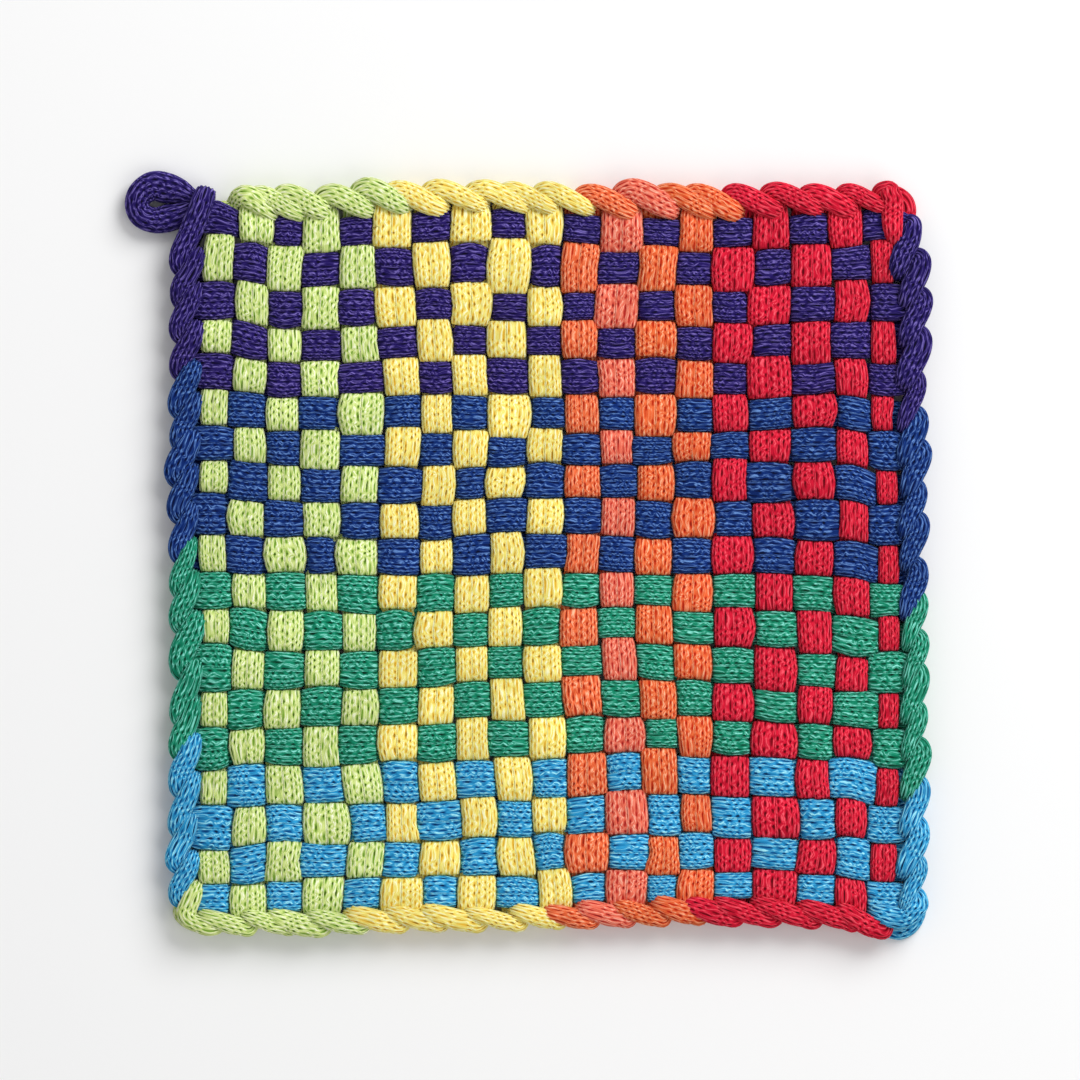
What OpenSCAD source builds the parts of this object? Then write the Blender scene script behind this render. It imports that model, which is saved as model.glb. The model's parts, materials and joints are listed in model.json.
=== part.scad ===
// Square potholder woven from stretchy cotton loops, lying flat.
// Each loop is one closed ring of cloth with two runs side by side. The warp
// loops run along Y and the weft loops along X, over one and under one. Where
// a loop leaves the weave its end is a link, which is laid over clockwise
// round the neck of the next loop. The last end is left free to hang it by.
// The origin is on the surface that it lies on, under the middle of the weave.

/* [Weave] */
// Loops along each side, an odd number
loops_per_side = 19; // [11:2:25]
// Distance from one loop to the next
loop_pitch = 7.7; // [7.4:0.1:8.6]
// Room between two loops where they cross
crossing_gap = 0.19; // [0.16:0.01:0.4]
// Room between a loop's thin edge and the loop that bends round it
edge_gap = 0.05; // [0.03:0.01:0.2]
// Depth that the lowest floats are pressed flat
press_depth = 0.2; // [0.1:0.05:0.4]

/* [Bound edge] */
// Thickness of each of a loop's two runs where they pass through a link
neck_diameter = 1.9; // [1.6:0.1:2]
// Room between the two runs there
run_gap = 0.1; // [0.06:0.02:0.2]
// Thickness of a link
link_diameter = 2.5; // [2.2:0.1:2.6]
// Room between a link and what it lies against
link_gap = 0.1; // [0.06:0.02:0.2]
// Distance from the weave's edge to the middle of a link's bend
bend_offset = 1.3; // [1.1:0.1:2]
// Extra length of the link that holds the hanging end
last_link_extra = 4; // [3.5:0.1:4.5]

/* [Hanging loop] */
// Thickness of the cloth in the hanging loop
hanger_diameter = 5.2; // [4.4:0.1:5.4]
// Width of the slit inside the hanging loop
slit_width = 1.7; // [1.2:0.1:2.6]
// Distance from the weave's edge to the fold that the hanging loop swings on
fold_offset = 5.4; // [5.2:0.1:6.4]
// Distance from the middle of its row to the middle of the hanging loop
hanger_shift = 5.2; // [4.6:0.1:5.6]
// Distance from the fold to the middle of the hanging loop's round end
hanger_length = 4.4; // [4:0.1:6]
// Radius of the fold
fold_radius = 1.35; // [1.2:0.05:1.5]
// Room round the fold
fold_gap = 0.12; // [0.08:0.02:0.2]

/* [Hidden] */
$fn = 48;
pitch = loop_pitch;
half_count = (loops_per_side + 1) / 2;
weave_edge = loops_per_side * pitch / 2;

// A float is a quarter of a circle. It meets the next at 45 degrees, so the
// circle's middle lies half a pitch below or above the middle of the weave.
quarter = 45;
arc_radius = pitch / sqrt(2);
crimp = arc_radius - pitch / 2;
half_thickness = crimp - crossing_gap / 2;
// Widest band whose thin edge still clears the underside of a crossing float
half_band = sqrt(pow(arc_radius - half_thickness, 2) - pow(arc_radius - 2 * crimp, 2)) - edge_gap;
lens_radius = (pow(half_band, 2) + pow(half_thickness, 2)) / (2 * half_thickness);
// Every other float is this much slimmer, so that its end seats inside the next.
seam_step = 0.05;

// The first and last floats stop short of the weave's edge, where the necks begin.
end_angle = 29;
end_out = arc_radius * sin(end_angle) - pitch / 2;
end_height = crimp - arc_radius * (1 - cos(end_angle));
neck_radius = neck_diameter / 2;
neck_side = neck_radius + run_gap / 2;
// Depth of a neck's root inside the last float
root_depth = 0.8;
neck_root = end_out - root_depth;
// Distance from the weave's edge at which the neck reaches the middle level
neck_level = 0.4;

link_radius = link_diameter / 2;
// A link's two legs lie above and below the necks that they hold.
leg_height = neck_radius + link_gap + link_radius;
bend_side = neck_side + neck_radius + link_gap + link_radius;
// Legs of neighbouring links lie side by side, so they slant.
leg_angle = asin((link_diameter + link_gap) / pitch);
leg_slope = tan(leg_angle);
shoulder_radius = link_radius + seam_step;
// Length by which a straight stretch runs on into a round one
overlap = 0.2;

// Where the slanting line of a side's legs meets that of the next side
corner_reach = pitch / 2 + bend_offset;
corner_out = (bend_offset + leg_slope * (pitch + bend_side - corner_reach)
    - pow(leg_slope, 2) * (bend_side + pitch / 2)) / (1 + pow(leg_slope, 2));
corner_side = corner_reach + leg_slope * (bend_side + pitch / 2 + corner_out);

hanger_radius = hanger_diameter / 2;
hanger_side = slit_width / 2 + hanger_radius;
// The loop's underside is pressed flat on the surface.
hanger_press = 0.3;
// How far the fold stands out past the runs that come to it
fold_overhang = 0.3;
fold_half = neck_side + neck_radius + fold_overhang;
// Radius of the hanging loop's runs where they leave the fold
fold_root = 1.2;
// The fixed runs taper towards the fold, to leave room for its swing.
fold_neck_radius = 0.75;

// Height of the weave's middle above the surface that it lies on
middle_height = crimp + half_thickness - seam_step - press_depth;
hanger_drop = middle_height - hanger_radius + hanger_press;
// Size of the blocks that cut solids off, larger than any link
cutter = 3 * pitch;

LIME = [0.66, 0.80, 0.30];
YELLOW = [0.95, 0.80, 0.34];
CORAL = [0.90, 0.36, 0.28];
ORANGE = [0.93, 0.40, 0.16];
RED = [0.80, 0.08, 0.16];
VIOLET = [0.18, 0.12, 0.42];
NAVY = [0.09, 0.20, 0.46];
GREEN = [0.05, 0.47, 0.34];
SKY = [0.14, 0.50, 0.76];
// Colours in the order of a side of 19 loops, stretched over any other count
warp_colours = [LIME, LIME, LIME, LIME, LIME, YELLOW, YELLOW, YELLOW, YELLOW, YELLOW,
    ORANGE, CORAL, ORANGE, ORANGE, RED, RED, RED, RED, RED];
weft_colours = [VIOLET, VIOLET, VIOLET, VIOLET, VIOLET, NAVY, NAVY, NAVY, NAVY, NAVY,
    GREEN, GREEN, GREEN, GREEN, GREEN, SKY, SKY, SKY, SKY];
function loop_colour(list, k) = list[floor((k - 1) * len(list) / loops_per_side)];

function numbered(name, k) = str(name, k < 10 ? "0" : "", k);

function row_place(k) = (half_count - k) * pitch;
function leg_line(s) = bend_offset + leg_slope * (pitch + bend_side - s);
function odd(k) = k % 2 == 1;

// Section of the two runs lying tight together, thickness along X and width along Y
module band_section(slimmer) {
    intersection() {
        translate([lens_radius - half_thickness, 0]) circle(lens_radius - slimmer);
        translate([half_thickness - lens_radius, 0]) circle(lens_radius - slimmer);
    }
}

// One float over or under a crossing loop, from angle `back` to angle `ahead`
module float_arc(over, ahead, back) {
    translate([0, 0, (over ? -1 : 1) * pitch / 2])
        rotate([90, 0, 90])
            rotate_extrude(angle = ahead + back, start = over ? 90 - ahead : 270 - back)
                translate([arc_radius, 0]) band_section(over ? 0 : seam_step);
}

// The woven stretch of a loop along Y
module floats(first_over) {
    for (cell = [1 : loops_per_side]) {
        over = odd(cell) == first_over;
        ahead = cell == loops_per_side ? end_angle : quarter;
        back = cell == 1 ? end_angle : quarter;
        translate([0, (cell - half_count) * pitch, 0]) float_arc(over, ahead, back);
    }
}

// Round bar from one point to another
module bar(from, to, radius_from, radius_to) {
    along = to - from;
    tilt = acos(along.z / norm(along));
    turn = atan2(along.y, along.x);
    translate(from) rotate([0, tilt, turn]) cylinder(h = norm(along), r1 = radius_from, r2 = radius_to);
}

// In the link modules X runs along the side, Y outwards from the weave's edge
// and Z up from the weave's middle.

// A run from its last float to the middle level, then straight on to `reach`
module neck(side, over, reach) {
    root = [side * neck_side, neck_root, (over ? 1 : -1) * end_height];
    level = [side * neck_side, neck_level, 0];
    bar(root, level, neck_radius, neck_radius);
    translate(level) sphere(neck_radius + seam_step);
    bar(level, [level.x, reach, 0], neck_radius, neck_radius);
}

// The run's climb round the link before it, from the middle level to a leg
module climb(side, up) {
    out = leg_line(side * neck_side);
    translate([side * neck_side, out - leg_height, up * leg_height])
        rotate([90, 0, 90])
            rotate_extrude(angle = 90, start = up > 0 ? -90 : 0)
                translate([leg_height, 0]) circle(neck_radius - seam_step);
    translate([side * neck_side, out, up * leg_height]) sphere(shoulder_radius);
}

// The round end of a link, standing on edge, which holds the next loop's necks
module bend(centre, turn) {
    translate([centre.x - leg_height * cos(turn), centre.y - leg_height * sin(turn), 0])
        rotate([90, 0, turn])
            rotate_extrude(angle = 180, start = -90)
                translate([leg_height, 0]) circle(link_radius - seam_step);
}

// One leg from a shoulder to the bend, by way of a corner where there is one
module leg(side, up, centre, turn, corner) {
    z = up * leg_height;
    back = leg_height - overlap;
    shoulder = [side * neck_side, leg_line(side * neck_side), z];
    foot = [centre.x - back * cos(turn), centre.y - back * sin(turn), z];
    if (is_undef(corner)) {
        bar(shoulder, foot, link_radius, link_radius);
    } else {
        knee = [corner.x, corner.y, z];
        bar(shoulder, knee, link_radius, link_radius);
        translate(knee) sphere(shoulder_radius);
        bar(knee, foot, link_radius, link_radius);
    }
}

module link(over, centre, turn, corner) {
    for (side = [-1, 1]) {
        neck(side, over, leg_line(side * neck_side) - leg_height + overlap);
        climb(side, -side);
        leg(side, -side, centre, turn, corner);
    }
    bend(centre, turn);
}

module plain_link(over, extra) {
    reach = pitch + bend_side + extra;
    link(over, [reach, leg_line(reach)], -leg_angle);
}

module corner_link(over) {
    link(over, [pitch / 2 + bend_offset, -pitch / 2 - bend_side], -90 - leg_angle,
        [corner_side, corner_out]);
}

// The last end of the chain: its necks slant off to the hanging loop's fold.
module hanging_neck(over) {
    along = [hanger_shift, fold_offset - neck_level];
    across = [along.y, -along.x] / norm(along) * neck_side;
    difference() {
        for (side = [-1, 1]) {
            root = [side * neck_side, neck_root, (over ? 1 : -1) * end_height];
            level = [side * across.x, neck_level + side * across.y, 0];
            bar(root, level, neck_radius, neck_radius);
            translate(level) sphere(neck_radius + seam_step);
            bar(level, level + [along.x, along.y, 0], neck_radius, fold_neck_radius);
        }
        translate([hanger_shift, fold_offset, 0])
            rotate([0, 90, 0]) cylinder(h = cutter, r = fold_radius + fold_gap, center = true);
        translate([-cutter / 2 + hanger_shift, fold_offset, -cutter / 2]) cube(cutter);
    }
}

// Everything below the surface is pressed flat.
module pressed() {
    translate([0, 0, middle_height]) {
        difference() {
            children();
            translate([0, 0, -middle_height - cutter / 2])
                cube([4 * weave_edge, 4 * weave_edge, cutter], center = true);
        }
    }
}

// A loop along Y. Kinds of end: plain, corner, last (holds the hanging end) and free
module woven_loop(first_over, far_end, near_end) {
    last_over = first_over == odd(loops_per_side);
    floats(first_over);
    translate([0, weave_edge, 0]) loop_end(far_end, last_over);
    rotate(180) translate([0, weave_edge, 0]) loop_end(near_end, first_over);
}

module loop_end(kind, over) {
    if (kind == "plain") plain_link(over, 0);
    if (kind == "last") plain_link(over, last_link_extra);
    if (kind == "corner") corner_link(over);
    if (kind == "free") hanging_neck(over);
}

// Warp loops are counted from the left, weft loops from the far side.
module warp_loop(k) {
    color(loop_colour(warp_colours, k))
        pressed()
            translate([-row_place(k), 0, 0])
                woven_loop(
                    odd(k + loops_per_side),
                    k == loops_per_side ? "corner" : "plain",
                    k == 1 ? "corner" : "plain"
                );
}

module weft_loop(k) {
    color(loop_colour(weft_colours, k))
        pressed()
            translate([0, row_place(k), 0])
                rotate(-90)
                    woven_loop(
                        odd(k),
                        k == loops_per_side ? "corner" : "plain",
                        k == 1 ? "free" : k == 2 ? "last" : "plain"
                    );
}

// The free end of the first weft loop: a fold, two widening runs and a round end
module hanging_loop() {
    tip = [0, hanger_length, -hanger_drop];
    color(loop_colour(weft_colours, 1))
        pressed()
            rotate(90)
                translate([row_place(1) + hanger_shift, weave_edge + fold_offset, 0]) {
                    rotate([0, 90, 0]) cylinder(h = 2 * fold_half, r = fold_radius, center = true);
                    for (side = [-1, 1]) {
                        bar([side * (fold_root + run_gap / 2), 0, 0],
                            tip + [side * hanger_side, 0, 0], fold_root, hanger_radius);
                        translate(tip + [side * hanger_side, 0, 0]) sphere(hanger_radius + seam_step);
                    }
                    translate(tip)
                        rotate_extrude(angle = 180)
                            translate([hanger_side, 0]) circle(hanger_radius);
                }
}

for (k = [1 : loops_per_side]) {
    warp_loop(k);
    weft_loop(k);
}
hanging_loop();
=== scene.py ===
"""Looks of a square potholder woven from stretchy cotton loops.

Every loop is one closed ring of knitted tube. Its two runs lie side by side in
the weave, and its ends are links of the chained edge. Each ring is one mesh: a
path of centres, normals and section sizes, and a ribbed section carried along
it. Lengths are in millimetres until a mesh is written in metres.
"""

from __future__ import annotations

import json
import logging
import math
from dataclasses import dataclass, field, replace
from enum import Enum

import bpy
import numpy as np
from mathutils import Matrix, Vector

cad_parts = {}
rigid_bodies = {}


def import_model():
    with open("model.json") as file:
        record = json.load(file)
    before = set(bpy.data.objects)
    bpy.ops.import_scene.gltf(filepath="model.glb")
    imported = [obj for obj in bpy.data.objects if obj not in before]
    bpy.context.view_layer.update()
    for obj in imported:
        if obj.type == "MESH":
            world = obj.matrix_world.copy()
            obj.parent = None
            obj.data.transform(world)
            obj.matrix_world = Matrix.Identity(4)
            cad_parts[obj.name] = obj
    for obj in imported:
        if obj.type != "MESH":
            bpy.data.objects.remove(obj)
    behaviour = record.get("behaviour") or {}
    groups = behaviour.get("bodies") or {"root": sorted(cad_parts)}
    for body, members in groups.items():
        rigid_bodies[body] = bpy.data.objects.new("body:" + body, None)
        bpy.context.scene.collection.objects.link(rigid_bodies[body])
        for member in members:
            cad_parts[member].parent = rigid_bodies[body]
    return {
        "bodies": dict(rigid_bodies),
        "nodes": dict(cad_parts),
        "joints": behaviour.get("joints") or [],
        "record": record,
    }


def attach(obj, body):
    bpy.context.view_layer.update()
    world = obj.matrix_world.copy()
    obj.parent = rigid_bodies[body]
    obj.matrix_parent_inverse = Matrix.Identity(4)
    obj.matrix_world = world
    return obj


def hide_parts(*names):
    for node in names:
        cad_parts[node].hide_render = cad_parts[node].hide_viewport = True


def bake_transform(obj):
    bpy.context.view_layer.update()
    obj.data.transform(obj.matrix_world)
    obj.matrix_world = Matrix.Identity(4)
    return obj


LOG = logging.getLogger("potholder")
MM = 0.001
Array = np.ndarray


class End(Enum):
    """What a loop's end does at the edge of the weave."""

    PLAIN = "laid round the next loop on the same side"
    START = "comes out beside the wrap and is laid round the next loop"
    CORNER = "laid round the first loop of the next side"
    WRAP = "wound round the neck of the hanging loop"
    FREE = "runs on into the hanging loop"


@dataclass(frozen=True)
class DyedCotton:
    """One dye lot of cotton, from the shaded grooves to the lit crests.

    Attributes:
        slot: The record's material slot.
        painted_shade: Colour of the painted shade in the grooves, holes and gaps between fibres.
        main: Colour of most of the yarn.
        light: Colour of the painted highlight on the fibres of the crests, also the sheen's tint.
        holes: Strength of the painted shade in the small holes between stitches, from 0 to 1.
    """

    slot: str
    painted_shade: tuple[float, float, float]
    main: tuple[float, float, float]
    light: tuple[float, float, float]
    holes: float = 0.85


def srgb(red: int, green: int, blue: int) -> tuple[float, float, float]:
    """Linear colour from 8-bit sRGB values.

    Args:
        red: Red, from 0 to 255.
        green: Green, alike.
        blue: Blue, alike.

    Returns:
        The colour, from 0 to 1.
    """
    scaled = np.array([red, green, blue]) / 255
    linear = np.where(scaled <= 0.04045, scaled / 12.92, ((scaled + 0.055) / 1.055) ** 2.4)
    return tuple(float(value) for value in linear)


# Each dye's darker colour is painted shade for grooves, holes and gaps between fibres; its lighter colour is
# a painted highlight on the crests.
LIME = DyedCotton("lime", srgb(112, 158, 40), srgb(213, 229, 138), srgb(254, 255, 228))
YELLOW = DyedCotton("yellow", srgb(226, 172, 42), srgb(246, 232, 122), srgb(255, 255, 215), 0.65)
RED_ORANGE = DyedCotton("red_orange", srgb(180, 40, 12), srgb(237, 110, 63), srgb(255, 188, 150), 0.6)
CORAL = DyedCotton("coral", srgb(184, 38, 34), srgb(234, 111, 86), srgb(255, 186, 162), 0.6)
ORANGE = DyedCotton("orange", srgb(188, 38, 8), srgb(233, 107, 57), srgb(255, 187, 146), 0.6)
LIGHT_ORANGE = DyedCotton("light_orange", srgb(196, 36, 10), srgb(234, 106, 58), srgb(254, 180, 142), 0.6)
RED = DyedCotton("red", srgb(122, 0, 18), srgb(218, 23, 54), srgb(250, 92, 108), 0.7)
PURPLE = DyedCotton("purple", srgb(7, 2, 46), srgb(33, 20, 93), srgb(122, 107, 186))
ROYAL_BLUE = DyedCotton("royal_blue", srgb(0, 15, 66), srgb(11, 46, 117), srgb(106, 148, 212))
GREEN = DyedCotton("green", srgb(0, 74, 50), srgb(16, 138, 104), srgb(142, 232, 216))
SKY_BLUE = DyedCotton("sky_blue", srgb(3, 70, 132), srgb(41, 153, 208), srgb(168, 242, 255))

# Where the cloth is measured: loop numbers, with 0 and 20 on the chained edge.
MEASURED_AT = np.array([0, 1, 3, 6, 9, 12, 15, 17.5, 19, 20])

# How far the cloth is pulled to the right, one row per measured weft number.
PULLED_RIGHT = np.array(
    [
        [0.0, -0.2, -0.9, -2.2, -1.2, -0.9, -0.5, 0.1, -0.6, -0.5],
        [0.0, 0.2, -0.9, -2.3, -1.1, -1.0, -0.5, 0.0, -0.6, -0.5],
        [-0.4, -0.4, -1.6, -1.1, -1.7, -2.2, -0.5, 0.4, -0.2, -0.2],
        [-0.7, -0.6, -2.2, -0.6, -0.8, -1.5, -1.8, 1.2, 0.2, -0.7],
        [-0.7, -1.5, -2.2, -0.5, -1.9, -1.3, -1.2, 2.1, 0.2, -0.5],
        [-0.4, -0.2, -1.8, -1.4, -1.3, -1.8, -1.5, 1.9, 1.2, -0.4],
        [-0.4, -0.8, -2.1, -0.6, -1.1, -0.6, -0.5, 1.2, 0.8, -0.4],
        [-0.7, -1.1, -1.2, 0.3, 0.1, 0.1, -0.4, 1.5, 0.1, -0.3],
        [-0.7, -0.8, -1.5, -0.7, 1.3, 0.2, -1.0, 1.0, 0.2, -0.8],
        [-0.7, -0.7, -1.5, -0.7, 0.9, 0.2, -0.8, 1.0, 0.1, -0.8],
    ]
)

# How far it is pulled upwards in the picture, laid out alike.
PULLED_UP = np.array(
    [
        [-0.8, -0.6, -1.2, -0.1, -0.2, -0.5, -0.6, -0.3, -0.1, -0.1],
        [-0.7, 0.2, -1.0, -0.1, 0.5, -0.2, -0.7, -0.2, 0.4, 0.1],
        [0.2, 0.2, -1.5, -1.1, -0.7, -1.1, -1.4, -0.7, -0.3, -0.1],
        [0.8, 0.4, -0.1, -0.5, 0.0, -0.5, -0.2, 0.4, -1.0, -0.9],
        [1.8, 2.0, 0.8, 0.6, 1.2, 1.5, 0.9, 1.0, -0.5, -0.6],
        [1.6, 1.7, 0.6, 0.6, 1.3, 2.1, 0.9, 0.1, -0.4, -0.6],
        [-0.8, -0.9, -0.2, 0.0, 1.8, 2.4, 2.1, 0.2, -0.8, -0.8],
        [-2.2, -2.3, -0.6, -0.8, -0.2, 0.5, 0.3, -0.1, -1.3, -1.3],
        [-1.1, -1.3, -1.1, -0.4, -0.2, 1.3, 1.6, 0.6, -0.7, -0.8],
        [0.1, 0.1, 0.2, 0.9, 1.0, 2.1, 2.4, 1.1, 0.0, 0.0],
    ]
)

# Half the width of each loop's two runs, on average along it.
WARP_HALF_BANDS = [3.0] + [3.8] * 9 + [3.9] * 3 + [3.75] * 3 + [3.55] * 2 + [2.45]
WEFT_HALF_BANDS = [3.0] + [3.35] * 3 + [3.5] * 3 + [3.8] * 3 + [3.65] * 3 + [3.75] * 3 + [3.95] * 2 + [3.4]

WARP_DYES = [LIME] * 5 + [YELLOW] * 5 + [RED_ORANGE, CORAL, ORANGE, LIGHT_ORANGE] + [RED] * 5
WEFT_DYES = [PURPLE] * 5 + [ROYAL_BLUE] * 5 + [GREEN] * 5 + [SKY_BLUE] * 4

# How much floats differ: width and height as shares, and sidestep in millimetres.
WIDTH_SPREAD = 0.08
HEIGHT_SPREAD = 0.06
SIDESTEP_SPREAD = 0.3

# How much links differ in their place along the side, their reach and their fullness.
LINK_SPREAD = np.array([0.75, 0.3, 0.1])

# What the grooves' painted shade colour is multiplied by for the painted shade inside the holes.
HOLE_SHADE_TINT = (0.26, 0.2, 0.18, 1)

# The short waves of the rows fade out between these distances from the middle.
WAVES_FADE = (60.0, 78.0)


def unit(vectors: Array) -> Array:
    """Vectors scaled to length 1, row by row."""
    return vectors / np.maximum(np.linalg.norm(vectors, axis=-1, keepdims=True), 1e-9)


def smooth_step(low: float, high: float, values: Array) -> Array:
    """0 below `low`, 1 above `high`, and an S curve between."""
    share = np.clip((values - low) / (high - low), 0, 1)
    return share * share * (3 - 2 * share)


def signed_power(values: Array, power: float | Array) -> Array:
    """Values whose size is raised to a power, with their signs kept."""
    return np.sign(values) * np.abs(values) ** power


def between(table: Array, row: Array, column: Array) -> Array:
    """Values between those of a table, with a smooth step from each to the next.

    Args:
        table: One value for each measured row and column.
        row: Rows asked for, as loop numbers.
        column: Columns asked for, as loop numbers.

    Returns:
        One value for each row and column asked for.
    """
    count = len(MEASURED_AT)
    row_at = np.interp(row, MEASURED_AT, np.arange(count))
    column_at = np.interp(column, MEASURED_AT, np.arange(count))
    top = np.clip(row_at.astype(int), 0, count - 2)
    left = np.clip(column_at.astype(int), 0, count - 2)
    down = smooth_step(0, 1, row_at - top)
    across = smooth_step(0, 1, column_at - left)
    upper = table[top, left] * (1 - across) + table[top, left + 1] * across
    lower = table[top + 1, left] * (1 - across) + table[top + 1, left + 1] * across
    return upper * (1 - down) + lower * down


def spline(keys: Array, per_span: int) -> Array:
    """Points on a Catmull-Rom curve through keys.

    Each span is the cubic whose slope at a key is half the step from the key
    before it to the key after it.

    Args:
        keys: One row per key, with any number of columns.
        per_span: Points in each span, its first key among them.

    Returns:
        The points, ending on the last key.
    """
    padded = np.vstack([2 * keys[0] - keys[1], keys, 2 * keys[-1] - keys[-2]])
    before, start, stop, after = padded[:-3], padded[1:-2], padded[2:-1], padded[3:]
    share = (np.arange(per_span) / per_span)[None, :, None]
    slope_in = (stop - before)[:, None] / 2
    slope_out = (after - start)[:, None] / 2
    points = (
        (2 * share**3 - 3 * share**2 + 1) * start[:, None]
        + (share**3 - 2 * share**2 + share) * slope_in
        + (3 * share**2 - 2 * share**3) * stop[:, None]
        + (share**3 - share**2) * slope_out
    )
    return np.vstack([points.reshape(-1, keys.shape[1]), keys[-1:]])


@dataclass
class Path:
    """The course of a tube: one row per ring of its mesh.

    Attributes:
        centre: Middle of each ring.
        up: Direction of the section's thickness.
        square: 1 where the section stands square to the course, 0 where it
            stays upright, as in the weave.
        wide: Half the section's width.
        thick: Half its thickness.
        inner: 1 where the section's left side lies against the other run, -1
            where its right side does, 0 where neither does.
    """

    centre: Array
    up: Array
    square: Array
    wide: Array
    thick: Array
    inner: Array

    @staticmethod
    def join(parts: list[Path]) -> Path:
        """One path made of several, end to end."""
        return Path(*(np.concatenate([getattr(part, name) for part in parts]) for name in PATH_FIELDS))

    def turned(self, quarter_turns: int, shift: tuple[float, float]) -> Path:
        """The path turned about Z, then shifted.

        Args:
            quarter_turns: Quarter turns to the left.
            shift: How far it is shifted along X and Y.

        Returns:
            The moved path.
        """
        cosine, sine = [(1, 0), (0, 1), (-1, 0), (0, -1)][quarter_turns % 4]
        turn = np.array([[cosine, sine, 0], [-sine, cosine, 0], [0, 0, 1]], dtype=float)
        centre = self.centre @ turn + np.array([*shift, 0.0])
        return replace(self, centre=centre, up=self.up @ turn)

    def reversed(self) -> Path:
        """The same course walked the other way."""
        return Path(*(getattr(self, name)[::-1] for name in PATH_FIELDS))


PATH_FIELDS = ["centre", "up", "square", "wide", "thick", "inner"]


def level(*keys: list[float], up: int = 1) -> list[list[float]]:
    """Keys of a section that lies level: place, then half width and half thickness."""
    return [[*key[:3], 0, 0, up, *key[3:]] for key in keys]


@dataclass
class KnitTube:
    """The knitted tube that every loop is made of.

    Place across the knit is u, which counts ribs round the tube, and place
    along it is v, which counts stitches. Ribs lean towards each other and
    apart by turns, so the grooves open into small staggered holes.

    Attributes:
        ribs: Ribs round the tube, an even number.
        rib_height: Height of a rib above the groove beside it.
        sway: How far a rib leans to each side.
        stitch: Length of one stitch along the tube.
        squareness: Exponent of the section's outer side, 2 for an ellipse.
        inner_squareness: The same for the side against the other run.
    """

    ribs: int = 14
    rib_height: float = 0.24
    sway: float = 0.13
    stitch: float = 2.15
    squareness: float = 2.6
    inner_squareness: float = 8.0

    def stitch_marks(self, path: Path, closed: bool, random: np.random.Generator) -> Array:
        """Stitch count v at each ring, and at the end of the last span.

        A ring of knit has a whole number of stitches, and slow waves that
        close with it make some stitches longer than others.

        Args:
            path: The tube's course.
            closed: Whether the path's end meets its start.
            random: Source of the waves' phases.

        Returns:
            The stitch counts.
        """
        ends = np.vstack([path.centre, path.centre[:1]]) if closed else path.centre
        distance = np.concatenate([[0], np.cumsum(np.linalg.norm(np.diff(ends, axis=0), axis=1))])
        stitches = round(distance[-1] / self.stitch)
        share = distance / distance[-1]
        uneven = 0.0
        for part, size in ((0.07, 0.5), (0.19, 0.22), (0.43, 0.1)):
            turns = 2 * math.pi * round(stitches * part)
            uneven = uneven + size * np.sin(turns * share + random.uniform(0, 6))
        return stitches * share + uneven

    def even_angles(self, path: Path, lean: Array) -> Array:
        """Section angle of every vertex, evenly spaced round the section.

        The length round a superellipse of the tube's usual size is summed up,
        and the angle is read off at equal steps of it, moved by the lean.

        Args:
            path: The tube's course.
            lean: How far each vertex is moved round the section.

        Returns:
            Angles as (rings, columns).
        """
        wide, thick = float(np.median(path.wide)), float(np.median(path.thick))
        angle = np.linspace(-1.0, 2 * math.pi + 1.0, 1201)
        power = 2 / self.squareness
        across = wide * signed_power(np.cos(angle), power)
        over = thick * signed_power(np.sin(angle), power)
        length = np.concatenate([[0], np.cumsum(np.hypot(np.diff(across), np.diff(over)))])
        first, last = np.interp([0, 2 * math.pi], angle, length)
        columns = 2 * self.ribs
        steps = first + np.arange(columns) / columns * (last - first)
        return np.interp(steps[None] + lean, length, angle)

    def surface(self, path: Path, closed: bool, random: np.random.Generator) -> tuple[Array, Array]:
        """Vertices of the tube along a path.

        The section is a superellipse: across is wide times cos(a) to the power
        2/e and over is thick times sin(a) to the power 2/e, where e is larger
        on the side that lies against the other run. Ribs are raised, grooves
        are lowered, most where sin(pi u) cos(2 pi v) is high, and ribs lean by
        the sway times cos(pi u) cos(2 pi v).

        Args:
            path: The tube's course.
            closed: Whether the path's end meets its start.
            random: Source of the small irregularities.

        Returns:
            Vertices as (rings, columns, 3) and the stitch count at each ring.
        """
        step = np.roll(path.centre, -1, axis=0) - path.centre if closed else np.gradient(path.centre, axis=0)
        ahead = unit(step + np.roll(step, 1, axis=0)) if closed else unit(step)
        up = unit(path.up)
        along = np.sum(up * ahead, axis=1, keepdims=True)
        up = unit(up - path.square[:, None] * along * ahead)
        right = unit(np.cross(ahead, up))

        marks = self.stitch_marks(path, closed, random)
        u = np.arange(2 * self.ribs)[None] / 2
        v = marks[: len(path.centre), None]
        slack = 1 + 0.35 * np.sin(2 * math.pi * v / 3 + 1.9 * u + random.uniform(0, 6))
        angle = self.even_angles(path, -self.sway * slack * np.cos(math.pi * u) * np.cos(2 * math.pi * v))
        cosine, sine = np.cos(angle), np.sin(angle)
        wide, thick = path.wide[:, None], path.thick[:, None]
        inner_side = smooth_step(0.0, 0.6, -cosine * path.inner[:, None])
        exponent = self.squareness + (self.inner_squareness - self.squareness) * inner_side
        groove = np.sin(math.pi * u) ** 2
        opening = 0.7 + 0.3 * np.sin(math.pi * u) * np.cos(2 * math.pi * v) * slack
        push = self.rib_height * (0.5 * (1 - groove) - groove * opening)
        normal = unit(np.stack([cosine * thick, sine * wide], axis=-1))
        across = wide * signed_power(cosine, 2 / exponent) + push * normal[..., 0]
        over = thick * signed_power(sine, 2 / exponent) + push * normal[..., 1]
        vertices = path.centre[:, None] + across[..., None] * right[:, None] + over[..., None] * up[:, None]
        return vertices, marks


def linked(name: str, data: bpy.types.ID) -> bpy.types.Object:
    """A new object in the scene.

    Args:
        name: Its name.
        data: The mesh, light or camera that it shows.

    Returns:
        The object.
    """
    made = bpy.data.objects.new(name, data)
    bpy.context.scene.collection.objects.link(made)
    return made


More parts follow.
